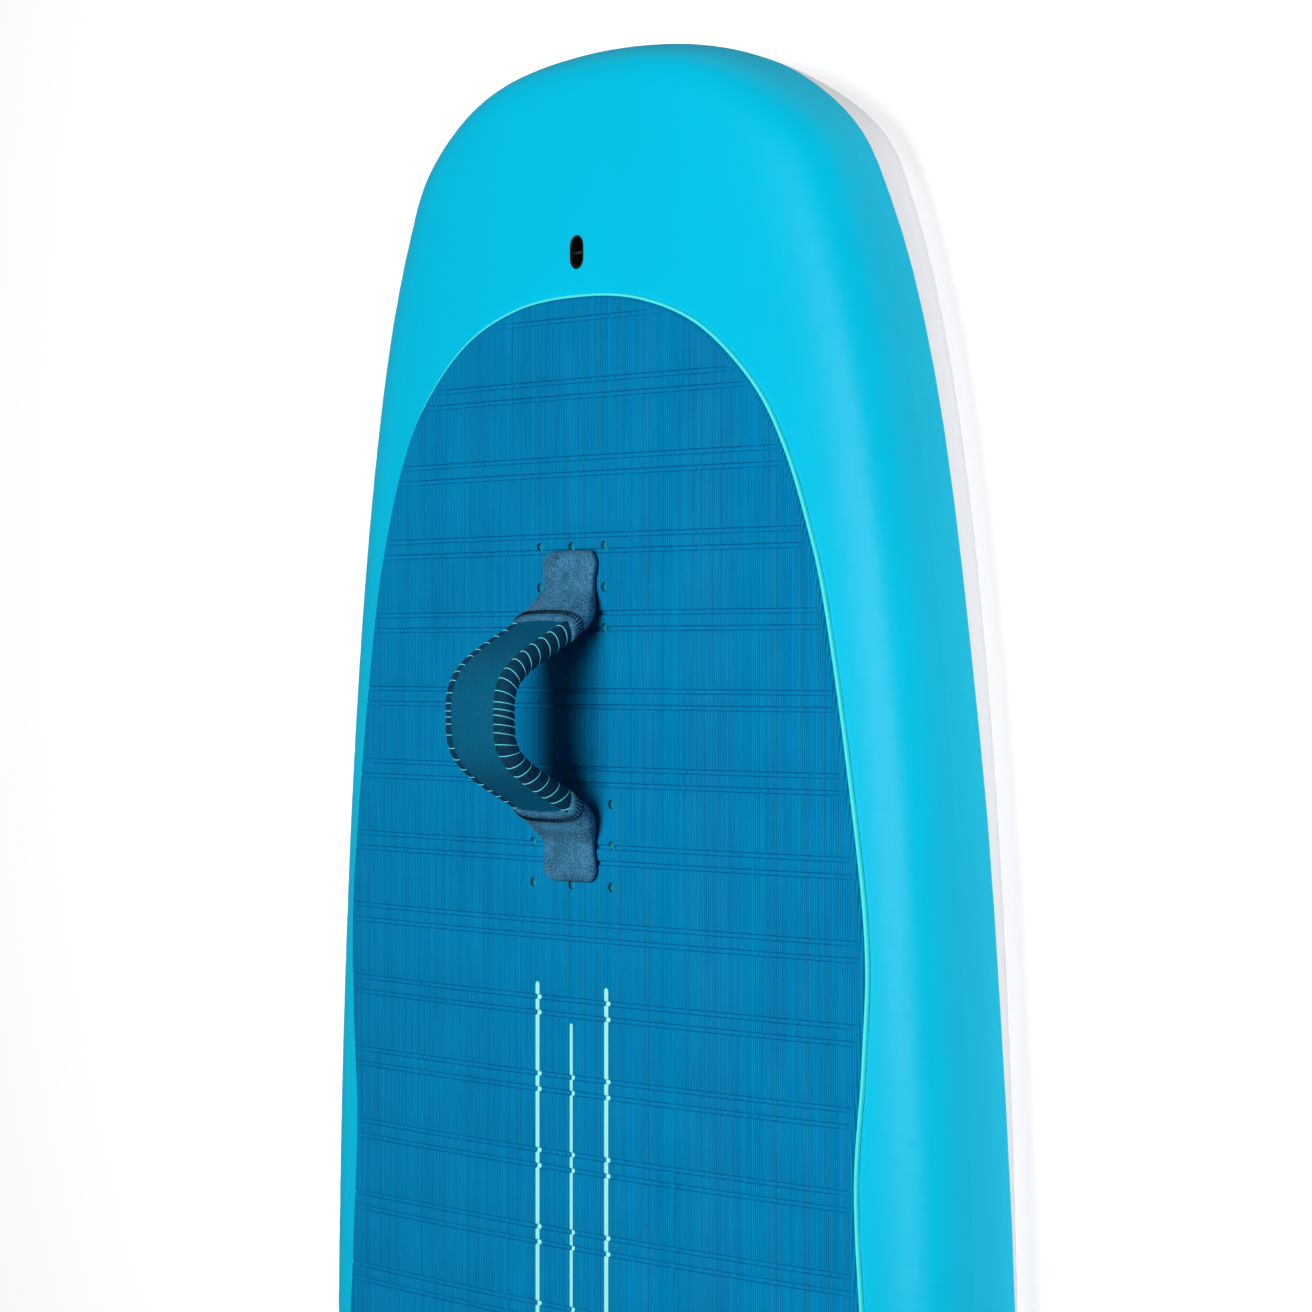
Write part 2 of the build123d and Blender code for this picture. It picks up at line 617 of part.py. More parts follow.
for end, screw in STRAP_SCREWS.items():
    direction = 1 if end == "rear" else -1
    hem = STRAP + direction * (STRAP_HEM + HEM_GAP)
    tip = STRAP + direction * STRAP_HALF
    tab_end = STRAP + direction * (STRAP_HALF - TAB_SETBACK)
    with BuildPart() as strap_washer:
        with Locations((x_at(screw), 0, STRAP_SEAT + WEBBING)):
            Cylinder(WASHER_RADIUS, WASHER, align=BOTTOM_UP)
            Cylinder(SCREW_RADIUS, 3 * WASHER, mode=Mode.SUBTRACT)
    with BuildPart() as strap_screw:
        with Locations((x_at(screw), 0, STRAP_SEAT + WEBBING + WASHER)):
            Cylinder(HEAD_RADIUS, HEAD, align=BOTTOM_UP)
        fillet(strap_screw.edges().sort_by(Axis.Z)[-1], HEAD_ROUND)
        with Locations((x_at(screw), 0, STRAP_SEAT + WEBBING + WASHER)):
            Cylinder(SCREW_RADIUS, SCREW_LENGTH, align=TOP_DOWN)
        with BuildSketch(Plane.XY.offset(STRAP_SEAT + WEBBING + WASHER + HEAD)):
            with Locations((x_at(screw), 0)):
                RegularPolygon(HEX_RADIUS, 6)
        extrude(amount=-HEX_DEPTH, mode=Mode.SUBTRACT)
    with BuildPart() as strap_tab:
        add(webbing_form)
        add(slab(min(hem, tab_end), max(hem, tab_end)), mode=Mode.INTERSECT)
        with Locations((x_at(screw), 0, STRAP_SEAT)):
            Cylinder(SCREW_RADIUS, 20, mode=Mode.SUBTRACT)
    with BuildPart() as strap_cover:
        add(strap_band(COVER, COVER_WIDTH))
        add(slab(min(hem, tip), max(hem, tip)), mode=Mode.INTERSECT)
        add(pad_surface_form, mode=Mode.SUBTRACT)
        add([strap_tab.part, strap_washer.part, strap_screw.part], mode=Mode.SUBTRACT)
    save(strap_washer.part, f"strap_washer_{end}")
    save(strap_screw.part, f"strap_screw_{end}")
    save(strap_tab.part, f"strap_tab_{end}")
    save(strap_cover.part, f"strap_cover_{end}")

save(foam_core.part, "foam_core")
save(deck_skin.part, "deck_skin")
save(hull_skin.part, "hull_skin")
save(standing_sandwich.part, "standing_sandwich")
save(foil_block.part, "foil_block")
save(pad_base.part, "pad_base")
save(pad_top.part, "pad_top")
save(nose_plug_cup.part, "nose_plug_cup")
save(nose_plug_pin.part, "nose_plug_pin")
save(leash_plug_cup.part, "leash_plug_cup")
save(leash_plug_pin.part, "leash_plug_pin")
save(vent_body.part, "vent_body")
save(vent_membrane.part, "vent_membrane")
save(vent_oring.part, "vent_oring")
save(vent_cap.part, "vent_cap")
save(strap_core.part, "strap_core")
save(strap_panel.part, "strap_panel")
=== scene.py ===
"""A short turquoise paddleboard with a blue ribbed pad and one foot strap, lying on its bottom."""
import json
import math
import random

import bmesh
import bpy
from mathutils import Matrix, Vector
from mathutils.kdtree import KDTree


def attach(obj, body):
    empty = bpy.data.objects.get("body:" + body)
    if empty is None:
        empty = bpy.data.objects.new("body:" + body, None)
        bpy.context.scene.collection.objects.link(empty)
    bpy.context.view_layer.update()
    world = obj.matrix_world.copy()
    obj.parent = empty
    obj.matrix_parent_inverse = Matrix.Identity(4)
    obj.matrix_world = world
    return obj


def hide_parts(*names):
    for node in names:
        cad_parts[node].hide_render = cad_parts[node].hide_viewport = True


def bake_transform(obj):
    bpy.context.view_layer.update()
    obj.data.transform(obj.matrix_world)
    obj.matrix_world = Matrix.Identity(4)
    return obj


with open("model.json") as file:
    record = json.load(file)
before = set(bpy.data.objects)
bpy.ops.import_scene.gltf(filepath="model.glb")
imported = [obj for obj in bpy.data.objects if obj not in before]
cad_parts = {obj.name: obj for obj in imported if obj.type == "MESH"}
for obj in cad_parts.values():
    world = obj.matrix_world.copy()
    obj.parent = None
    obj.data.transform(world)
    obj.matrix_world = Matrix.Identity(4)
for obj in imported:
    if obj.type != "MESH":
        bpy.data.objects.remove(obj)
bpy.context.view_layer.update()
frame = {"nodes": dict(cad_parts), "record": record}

MM = 0.001

# Board, as in the design (metres; u is the distance aft of the nose tip)
LENGTH = 1905 * MM
HALF_WIDTH = 398 * MM
DECK = 142 * MM
RAIL_FRACTION = 0.4445
WIDEST = 1150 * MM
NOSE_POWER = 1.91
NOSE_BLUNT = 4.45
TIP_LENGTH = 90 * MM
TIP_POWER = 1.5
TIP_BLUNT = 5.12
TAIL_POWER = 2.6
TAIL_BLUNT = 4.0
DECK_CLOSE = 44 * MM
DECK_CLOSE_POWER = 2.6
DECK_CLOSE_BLUNT = 2.5
TAIL_CLOSE = 80 * MM
RAIL_POWER = 16.0
RAIL_SOFTENING = 0.25
RAIL_SOFT_LENGTH = 300 * MM
RAIL_RAISE = 0.04
RAIL_RAISE_LENGTH = 400 * MM
EDGE_POWER = 2.2
DECK_CROWN = 18.7 * MM
TAIL_LIFT = 22 * MM
TAIL_LIFT_LENGTH = 400 * MM

# Deck pad
PAD_BASE = 2.6 * MM
PAD_THICK = 5.2 * MM
PAD_FRONT = 200 * MM
PAD_REAR = 1755 * MM
PAD_PROUD = 2.5 * MM
PAD_EDGE = [(206, 78), (230, 151), (276, 212), (325, 247), (386, 273), (447, 291), (568, 314), (690, 331),
            (780, 329), (873, 322), (982, 329), (1120, 338), (1300, 333), (1480, 309), (1620, 272),
            (1710, 220), (1748, 130)]
GROOVE_DEPTH = 2.1 * MM
GROOVE_GAP = 12.4 * MM
GROOVE_PITCH = 60.86 * MM
FIRST_GROOVES = 211.1 * MM
GROOVE_PAIRS = 26
GUIDES = {"port": (45, 740.5, 2.5), "centre": (0, 771, 1.8), "starboard": (-45, 740.5, 2.5)}
GUIDE_REAR = 1640 * MM

# Strap
STRAP = 529 * MM
ARCH_HEIGHT = 85 * MM
ARCH_REACH = 62 * MM
ARCH_POWER = 3.4
STRAP_BASE = 8.6 * MM
ARCH_HALF = 69 * MM
HEM = 67 * MM
HEM_SLANT = 6 * MM
STITCHES = 66
TAB_END = 130 * MM
ROLL = 8.5 * MM
ROLL_OFFSET = 31.5 * MM
PANEL_HALF = 28.5 * MM
PANEL_EDGE = 7.5 * MM
PANEL_CROWN = 1.3 * MM
THREAD = 0.36 * MM
THREAD_PITCH = 10.5 * MM
THREAD_CROWDING = 4.0 * MM

# Screw holes
HOLE_ROWS = {"front": (428 * MM, 42 * MM), "rear": (629.5 * MM, 51 * MM)}
HOLE_PITCH = 32.2 * MM
HOLE_RADIUS = 3.8 * MM

# Camera
VIEW_ANGLE = math.radians(52)
VIEW_DISTANCE = 3.374
VIEW_ASIDE = 0.0625
VIEW_STATION = 0.482
LENS = 117.6


def x_at(u):
    return LENGTH / 2 - u


def half_width(u):
    if u >= WIDEST:
        aft = min(1.0, (u - WIDEST) / (LENGTH - WIDEST))
        return HALF_WIDTH * (1 - aft**TAIL_POWER) ** (1 / TAIL_BLUNT)
    taper = (1 - (1 - u / WIDEST) ** NOSE_POWER) ** (1 / NOSE_BLUNT)
    tip = (1 - max(0.0, 1 - u / TIP_LENGTH) ** TIP_POWER) ** (1 / TIP_BLUNT)
    return HALF_WIDTH * taper * tip


def bottom_line(u):
    return TAIL_LIFT * max(0.0, 1 - (LENGTH - u) / TAIL_LIFT_LENGTH) ** 2


def deck_closing(u):
    nose = (1 - max(0.0, 1 - u / DECK_CLOSE) ** DECK_CLOSE_POWER) ** (1 / DECK_CLOSE_BLUNT)
    return nose * (1 - max(0.0, 1 - (LENGTH - u) / TAIL_CLOSE) ** 2) ** 0.5


def rail_line(u):
    fraction = RAIL_FRACTION - RAIL_RAISE * max(0.0, 1 - u / RAIL_RAISE_LENGTH) ** 2
    return DECK - fraction * (DECK - bottom_line(u))


def deck_height(u, y):
    """Height of the deck surface at a distance y off the centreline."""
    width = half_width(u)
    softness = RAIL_SOFTENING * max(0.0, 1 - u / RAIL_SOFT_LENGTH) ** 2
    power = max(EDGE_POWER, RAIL_POWER * (1 - softness) * width / HALF_WIDTH)
    shape = max(0.0, 1 - min(1.0, abs(y) / width) ** power) ** (1 / EDGE_POWER)
    rise = DECK - rail_line(u) - DECK_CROWN * (y / HALF_WIDTH) ** 2
    return rail_line(u) + rise * deck_closing(u) * shape


# ---------------------------------------------------------------- mesh helpers

def add_mesh(name, bm, material, smooth=True):
    bmesh.ops.recalc_face_normals(bm, faces=bm.faces)
    mesh = bpy.data.meshes.new(name)
    bm.to_mesh(mesh)
    bm.free()
    for polygon in mesh.polygons:
        polygon.use_smooth = smooth
    mesh.materials.append(material)
    piece = bpy.data.objects.new(name, mesh)
    bpy.context.collection.objects.link(piece)
    return piece


def loft_into(bm, rings, closed_ends=True):
    """Joins rings of equal length with quads and closes both ends with a fan."""
    rows = [[bm.verts.new(point) for point in ring] for ring in rings]
    count = len(rows[0])
    for a, b in zip(rows, rows[1:]):
        for k in range(count):
            bm.faces.new((a[k], a[(k + 1) % count], b[(k + 1) % count], b[k]))
    if closed_ends:
        for row in (rows[0], rows[-1]):
            middle = bm.verts.new(sum((v.co for v in row), Vector()) / count)
            for k in range(count):
                bm.faces.new((row[k], row[(k + 1) % count], middle))


def smoothstep(a, b, value):
    t = min(1.0, max(0.0, (value - a) / (b - a)))
    return t * t * (3 - 2 * t)


# ---------------------------------------------------------------- materials

class Nodes:
    """A short way to write node materials."""

    def __init__(self, name):
        self.material = bpy.data.materials.new(name)
        self.material.use_nodes = True
        self.tree = self.material.node_tree
        self.shader = self.tree.nodes["Principled BSDF"]

    def add(self, kind, **inputs):
        node = self.tree.nodes.new(kind)
        for key, value in inputs.items():
            self.put(node, key.replace("_", " "), value)
        return node

    def put(self, node, key, value):
        socket = node.inputs[key]
        if isinstance(value, bpy.types.NodeSocket):
            self.tree.links.new(value, socket)
        else:
            socket.default_value = value

    def math(self, operation, a, b=0.0):
        node = self.tree.nodes.new("ShaderNodeMath")
        node.operation = operation
        for socket, value in zip(node.inputs, (a, b)):
            if isinstance(value, bpy.types.NodeSocket):
                self.tree.links.new(value, socket)
            else:
                socket.default_value = value
        return node.outputs[0]

    def place(self):
        return self.add("ShaderNodeTexCoord").outputs["Object"]

    def axes(self):
        split = self.add("ShaderNodeSeparateXYZ")
        self.tree.links.new(self.place(), split.inputs[0])
        return split.outputs

    def noise(self, scale, detail=2.0, rough=0.5):
        node = self.add("ShaderNodeTexNoise", Scale=scale, Detail=detail, Roughness=rough)
        self.tree.links.new(self.place(), node.inputs["Vector"])
        return node.outputs["Fac"]

    def streaks(self, along, across):
        """Noise drawn out along the board."""
        stretch = self.add("ShaderNodeMapping", Vector=self.place(), Scale=(along, across, along))
        node = self.add("ShaderNodeTexNoise", Vector=stretch.outputs[0], Scale=1.0, Detail=4.0, Roughness=0.7)
        return node.outputs["Fac"]

    def ramp(self, factor, low, high, start=0.0, end=1.0):
        node = self.add("ShaderNodeValToRGB", Fac=factor)
        first, last = node.color_ramp.elements
        first.position, last.position = start, end
        first.color, last.color = low, high
        return node.outputs["Color"]

    def bump(self, height, distance, strength=1.0):
        node = self.add("ShaderNodeBump", Height=height, Distance=distance, Strength=strength)
        return node.outputs["Normal"]

    def finish(self, colour, roughness, normal=None, **fixed):
        self.put(self.shader, "Base Color", colour)
        self.put(self.shader, "Roughness", roughness)
        if normal is not None:
            self.put(self.shader, "Normal", normal)
        for key, value in fixed.items():
            self.shader.inputs[key.replace("_", " ")].default_value = value
        return self.material


def rgb(red, green, blue):
    """An 8-bit screen colour as linear values."""
    values = [c / 255 for c in (red, green, blue)]
    linear = [v / 12.92 if v <= 0.04045 else ((v + 0.055) / 1.055) ** 2.4 for v in values]
    return (*linear, 1.0)


def paint(name, low, high, gloss):
    n = Nodes(name)
    colour = n.ramp(n.noise(3.0, 3.0), low, high, 0.3, 0.7)
    rough = n.math("ADD", n.math("MULTIPLY", n.noise(60.0, 4.0), 0.06), 0.36)
    normal = n.bump(n.noise(900.0, 2.0), 0.00003, 0.5)
    return n.finish(colour, rough, normal, Specular_IOR_Level=gloss)


def ribbed_foam(name, low, high, pitch):
    """Closed-cell foam with fine ribs along the board; its colour is painted darker in the rib hollows as shade,
    following the rib bump.
    """
    n = Nodes(name)
    across = n.math("MULTIPLY", n.axes()[1], 2 * math.pi / pitch)
    rib = n.math("ADD", n.math("MULTIPLY", n.math("SINE", across), 0.5), 0.5)
    grain = n.noise(1400.0, 2.0, 0.7)
    patch = n.noise(14.0, 3.0)
    # the rib term paints shade into the colour: darker in the rib hollows, lighter on the rib tops; grain, streaks and
    # patches are random tone
    mix = n.math("ADD", n.math("MULTIPLY", rib, 0.28), n.math("MULTIPLY", grain, 0.25))
    mix = n.math("ADD", mix, n.math("MULTIPLY", n.streaks(5.0, 260.0), 0.4))
    mix = n.math("ADD", mix, n.math("MULTIPLY", patch, 0.15))
    colour = n.ramp(mix, low, high, 0.28, 0.78)
    height = n.math("ADD", rib, n.math("MULTIPLY", grain, 0.5))
    return n.finish(colour, 0.8, n.bump(height, 0.0003, 0.7), Specular_IOR_Level=0.05)


def plain_foam(name, low, high):
    n = Nodes(name)
    grain = n.noise(1500.0, 2.0, 0.7)
    colour = n.ramp(grain, low, high, 0.3, 0.7)
    return n.finish(colour, 0.7, n.bump(grain, 0.0001, 0.5), Specular_IOR_Level=0.1)


def heathered(name, low, high, scale=1500.0, sheen=0.3):
    """Stretch fabric with a mottled knit."""
    n = Nodes(name)
    knit = n.noise(scale, 3.0, 0.8)
    cloud = n.noise(60.0, 2.0)
    mix = n.math("ADD", n.math("MULTIPLY", knit, 0.8), n.math("MULTIPLY", cloud, 0.2))
    colour = n.ramp(mix, low, high, 0.36, 0.64)
    return n.finish(colour, 0.85, n.bump(knit, 0.00025, 0.6), Sheen_Weight=sheen, Specular_IOR_Level=0.1)


def woven(name, low, high, pitch, roughness=0.6):
    n = Nodes(name)
    x, y, z = n.axes()
    warp = n.math("SINE", n.math("MULTIPLY", n.math("ADD", x, z), 2 * math.pi / pitch))
    weft = n.math("SINE", n.math("MULTIPLY", y, 2 * math.pi / pitch))
    weave = n.math("ADD", n.math("MULTIPLY", n.math("MULTIPLY", warp, weft), 0.5), 0.5)
    grain = n.noise(700.0, 2.0)
    # the weave term paints shade into the colour: lighter on the raised crossings, darker in the dips; the grain is
    # random tone
    mix = n.math("ADD", n.math("MULTIPLY", weave, 0.6), n.math("MULTIPLY", grain, 0.4))
    return n.finish(n.ramp(mix, low, high, 0.2, 0.8), roughness, n.bump(weave, 0.0002, 0.6))


def moulded(name, low, high, roughness=0.45, gloss=0.5):
    n = Nodes(name)
    grain = n.noise(500.0, 3.0)
    rough = n.math("ADD", n.math("MULTIPLY", grain, 0.2), roughness - 0.1)
    normal = n.bump(grain, 0.00005, 0.5)
    return n.finish(n.ramp(grain, low, high, 0.3, 0.7), rough, normal, Specular_IOR_Level=gloss)


def metal(name, low, high, roughness=0.28):
    n = Nodes(name)
    brushed = n.noise(260.0, 4.0, 0.7)
    rough = n.math("ADD", n.math("MULTIPLY", brushed, 0.15), roughness - 0.07)
    return n.finish(n.ramp(brushed, low, high, 0.3, 0.7), rough, n.bump(brushed, 0.00002, 0.4), Metallic=1.0)


MATERIALS = {
    "deck_laminate": paint("deck_paint", rgb(0, 200, 238), rgb(0, 208, 246), 0.12),
    "hull_laminate": paint("hull_paint", rgb(248, 248, 254), rgb(252, 252, 255), 0.2),
    "foam": moulded("blank_foam", rgb(236, 236, 234), rgb(246, 246, 244), 0.9),
    "sandwich": moulded("sandwich_sheet", rgb(196, 178, 138), rgb(208, 192, 152), 0.8),
    "dense_foam": moulded("dense_foam", rgb(206, 190, 146), rgb(218, 204, 162), 0.85),
    "black_plastic": moulded("black_plastic", rgb(9, 10, 12), rgb(18, 19, 22), 0.5),
    "nut_brass": metal("brass", rgb(205, 170, 100), rgb(222, 190, 122), 0.35),
    "stainless": metal("stainless", rgb(190, 194, 198), rgb(214, 217, 220), 0.25),
    "pad_light": plain_foam("pad_base_foam", rgb(60, 250, 248), rgb(96, 255, 252)),
    "pad_dark": ribbed_foam("pad_top_foam", rgb(0, 92, 146), rgb(2, 160, 216), 2.3 * MM),
    "pad_mint": plain_foam("guide_mint", rgb(160, 255, 246), rgb(186, 255, 250)),
    "membrane": woven("membrane_cloth", rgb(226, 226, 226), rgb(240, 240, 240), 0.4 * MM),
    "seal_rubber": moulded("seal_rubber", rgb(14, 14, 15), rgb(24, 24, 25), 0.6),
    "webbing": woven("webbing_cloth", rgb(22, 36, 50), rgb(44, 62, 80), 1.2 * MM),
    "neoprene": heathered("cover_neoprene", rgb(0, 30, 52), rgb(82, 160, 206), 800.0, 0.02),
    "strap_face": moulded("strap_face", rgb(6, 90, 124), rgb(10, 104, 140), 0.6, 0.05),
    "strap_roll": heathered("roll_fabric", rgb(2, 36, 62), rgb(14, 76, 112), 900.0, 0.02),
    "thread": moulded("mint_thread", rgb(90, 246, 255), rgb(120, 255, 255), 0.5),
    "stitch": moulded("dark_stitch", rgb(0, 16, 26), rgb(2, 30, 44), 0.7, 0.05),
}


def dress_cad():
    slots = {s["node"]: s["material_slot"] for s in frame["record"]["subparts"]}
    for node, piece in frame["nodes"].items():
        material = MATERIALS[slots[node]]
        for slot in piece.material_slots:
            slot.material = material


def dress(piece):
    return piece


# ---------------------------------------------------------------- deck pad

def catmull(points, steps):
    """A smooth open curve through points, as a list."""
    out = []
    ends = [points[0] * 2 - points[1]] + points + [points[-1] * 2 - points[-2]]
    for a, b, c, d in zip(ends, ends[1:], ends[2:], ends[3:]):
        for k in range(steps):
            t = k / steps
            out.append(0.5 * (2 * b + (c - a) * t + (2 * a - 5 * b + 4 * c - d) * t * t
                              + (3 * b - a - 3 * c + d) * t**3))
    return out + [points[-1]]


def pad_loop(inset):
    """The pad's outline as a closed list of points, drawn in by a distance."""
    port = [Vector((x_at(u * MM), y * MM)) for u, y in PAD_EDGE]
    front = Vector((x_at(PAD_FRONT), 0))
    rear = Vector((x_at(PAD_REAR), 0))
    star = [Vector((p.x, -p.y)) for p in reversed(port)]
    knots = [front] + port + [rear] + star
    count = len(knots)
    loop = []
    for i in range(count):
        a, b, c, d = (knots[(i + k) % count] for k in (-1, 0, 1, 2))
        for k in range(14):
            t = k / 14
            loop.append(0.5 * (2 * b + (c - a) * t + (2 * a - 5 * b + 4 * c - d) * t * t
                               + (3 * b - a - 3 * c + d) * t**3))
    out = []
    for i, point in enumerate(loop):
        along = (loop[(i + 1) % len(loop)] - loop[i - 1]).normalized()
        out.append(point + Vector((-along.y, along.x)) * inset)
    return out


GROOVE_PROFILE = [(-2.7, 0.0), (-2.1, 0.1), (-1.6, 0.75), (-1.0, 1.0), (1.0, 1.0), (1.6, 0.75), (2.1, 0.1), (2.7, 0.0)]


def groove_stations():
    """Places along the board where the pad's surface bends, with the depth there."""
    out = []
    for k in range(GROOVE_PAIRS):
        for side in (-0.5, 0.5):
            middle = FIRST_GROOVES + k * GROOVE_PITCH + side * GROOVE_GAP
            out += [(middle + step * MM, depth * GROOVE_DEPTH) for step, depth in GROOVE_PROFILE]
    return out


GROOVES = groove_stations()


def groove_at(u):
    for (u0, d0), (u1, d1) in zip(GROOVES, GROOVES[1:]):
        if u0 <= u <= u1:
            return d0 + (d1 - d0) * (u - u0) / (u1 - u0)
    return 0.0


def cut_lines(bm, places, normal):
    for place in places:
        geometry = bm.verts[:] + bm.edges[:] + bm.faces[:]
        bmesh.ops.bisect_plane(bm, geom=geometry, plane_co=place, plane_no=normal, dist=1e-7)


def nearness(loop):
    """A search tree over the outline, for distances to it."""
    tree = KDTree(len(loop))
    for i, point in enumerate(loop):
        tree.insert((point.x, point.y, 0), i)
    tree.balance()
    return tree


def pad_layer(name, low, high, inset, grooved, profile, material):
    """One layer of the pad: a grid cut on the outline, with a sloping edge."""
    edge = sum(out for out, drop in profile) * MM
    bm = bmesh.new()
    loop = pad_loop(inset + edge)
    bm.faces.new([bm.verts.new((p.x, p.y, 0)) for p in loop])
    columns = [Vector((0, y * MM, 0)) for y in range(-330, 331, 20)]
    cut_lines(bm, columns, (0, 1, 0))
    rows = [u for u, depth in GROOVES] if grooved else [0.24 + 0.06 * k for k in range(25)]
    cut_lines(bm, [Vector((x_at(u), 0, 0)) for u in rows], (1, 0, 0))
    under = bmesh.ops.duplicate(bm, geom=bm.faces[:])["geom"]
    bottom = [v for v in under if isinstance(v, bmesh.types.BMVert)]
    bottom_set = set(bottom)
    top_edges = [e for e in bm.edges if e.is_boundary and e.verts[0] not in bottom_set]
    bottom_edges = [e for e in bm.edges if e.is_boundary and e.verts[0] in bottom_set]
    outline = nearness(loop)
    for v in bm.verts:
        u = x_at(v.co.x)
        if v in bottom_set:
            v.co.z = deck_height(u, v.co.y) + low
        else:
            depth = groove_at(u) if grooved else 0.0
            fade = smoothstep(0, 9 * MM, outline.find((v.co.x, v.co.y, 0))[2])
            v.co.z = deck_height(u, v.co.y) + high - depth * fade
    normals = outward(top_edges)
    ring = top_edges
    for out, drop in profile:
        ring, normals = extend(bm, ring, normals, out * MM, drop * MM)
    normals_low = outward(bottom_edges)
    lower, normals_low = extend(bm, bottom_edges, normals_low, edge, 0.0)
    bmesh.ops.bridge_loops(bm, edges=ring + lower)
    return add_mesh(name, bm, material)


def outward(edges):
    """Sideways direction at each vertex of a boundary loop, away from the faces."""
    out = {}
    for edge in edges:
        a, b = (v.co for v in edge.verts)
        across = Vector((b.y - a.y, a.x - b.x, 0)).normalized()
        middle = (a + b) / 2
        if (edge.link_faces[0].calc_center_median() - middle).dot(across) > 0:
            across = -across
        for v in edge.verts:
            out[v] = out.get(v, Vector()) + across
    return {v: direction.normalized() for v, direction in out.items()}


def extend(bm, edges, normals, out, drop):
    """Extrudes a boundary loop sideways and down, and returns the new loop."""
    before = {v: v.co.copy() for v in normals}
    result = bmesh.ops.extrude_edge_only(bm, edges=edges)["geom"]
    new_edges = [g for g in result if isinstance(g, bmesh.types.BMEdge)]
    new_verts = [g for g in result if isinstance(g, bmesh.types.BMVert)]
    near = {tuple(round(c, 7) for c in co): direction for co, direction in
            ((before[v], normals[v]) for v in normals)}
    moved = {}
    for v in new_verts:
        direction = near[tuple(round(c, 7) for c in v.co)]
        v.co += direction * out - Vector((0, 0, drop))
        moved[v] = direction
    return new_edges, moved


def hole_places():
    for row, spread in HOLE_ROWS.values():
        for k in (-1, 0, 1):
            for y in (-spread, 0, spread):
                yield x_at(row + k * HOLE_PITCH), y


def cut_holes(piece):
    """Cuts the screw holes through a pad layer."""
    bm = bmesh.new()
    for x, y in hole_places():
        matrix = Matrix.Translation((x, y, DECK))
        bmesh.ops.create_cone(bm, cap_ends=True, segments=28, radius1=HOLE_RADIUS, radius2=HOLE_RADIUS,
                              depth=40 * MM, matrix=matrix)
    cutter = add_mesh("hole_cutter", bm, piece.data.materials[0])
    modifier = piece.modifiers.new("holes", "BOOLEAN")
    modifier.operation = "DIFFERENCE"
    modifier.solver = "EXACT"
    modifier.object = cutter
    apply_modifiers(piece)
    bpy.data.objects.remove(cutter)


def apply_modifiers(piece):
    graph = bpy.context.evaluated_depsgraph_get()
    mesh = bpy.data.meshes.new_from_object(piece.evaluated_get(graph))
    piece.modifiers.clear()
    old = piece.data
    piece.data = mesh
    bpy.data.meshes.remove(old)


def sharpen(piece, angle):
    """Keeps edges crisp where faces meet at more than an angle."""
    piece.data.set_sharp_from_angle(angle=math.radians(angle))


def make_pad():
    slope = ((0.8, 0.15), (1.0, 0.6), (1.5, 1.7), (0.1, 0.15))
    round_edge = ((0.5, 0.12), (0.6, 0.45), (0.4, 0.9))
    top = pad_layer("deck_pad_top", PAD_BASE, PAD_THICK, 2.3 * MM - PAD_PROUD, True, slope, MATERIALS["pad_dark"])
    base = pad_layer("deck_pad_base", 0.05 * MM, PAD_BASE, -PAD_PROUD, False, round_edge, MATERIALS["pad_light"])
    for piece in (top, base):
        cut_holes(piece)
        sharpen(piece, 28)
        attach(piece, "board")
    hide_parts("pad_top")
    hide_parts("pad_base")
    for side, (y, front, half) in GUIDES.items():
        line = guide_line(side, y * MM, front * MM, half * MM)
        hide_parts(f"guide_line_{side}")


def guide_line(side, y, front, half):
    """A thin inlay that follows the pad down into its grooves."""
    lift = 0.28 * MM
    sink = 0.5 * MM
    even = [front + 5 * MM * k for k in range(1, int((GUIDE_REAR - front) / (5 * MM)))]
    inner = sorted(even + [u for u, depth in GROOVES if front + 5 * MM < u < GUIDE_REAR - 5 * MM])
    tip = [front + half * (1 - math.cos(math.pi / 2 * k / 5)) for k in range(6)]
    tail = [GUIDE_REAR - (t - front) for t in reversed(tip)]
    rings = []
    for u in tip + inner + tail:
        near = min(u - front, GUIDE_REAR - u)
        wide = half if near >= half else math.sqrt(max(0.02, 1 - (1 - near / half) ** 2)) * half
        wide = max(wide, 0.15 * half)
        top = deck_height(u, y) + PAD_THICK - groove_at(u) + lift
        x = x_at(u)
        rings.append([(x, y - wide, top - sink), (x, y - wide, top - lift / 2), (x, y - wide * 0.8, top),
                      (x, y + wide * 0.8, top), (x, y + wide, top - lift / 2), (x, y + wide, top - sink)])
    bm = bmesh.new()
    loft_into(bm, rings)
    line = add_mesh(f"guide_inlay_{side}", bm, MATERIALS["pad_mint"])
    sharpen(line, 40)
    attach(line, "board")
    return line


# ---------------------------------------------------------------- foot strap

def strap_at(d):
    """Centre of the strap at a distance along the board from its middle."""
    height = ARCH_HEIGHT * math.exp(-((abs(d) / ARCH_REACH) ** ARCH_POWER))
    return Vector((x_at(STRAP) + d, 0, DECK + STRAP_BASE + height))


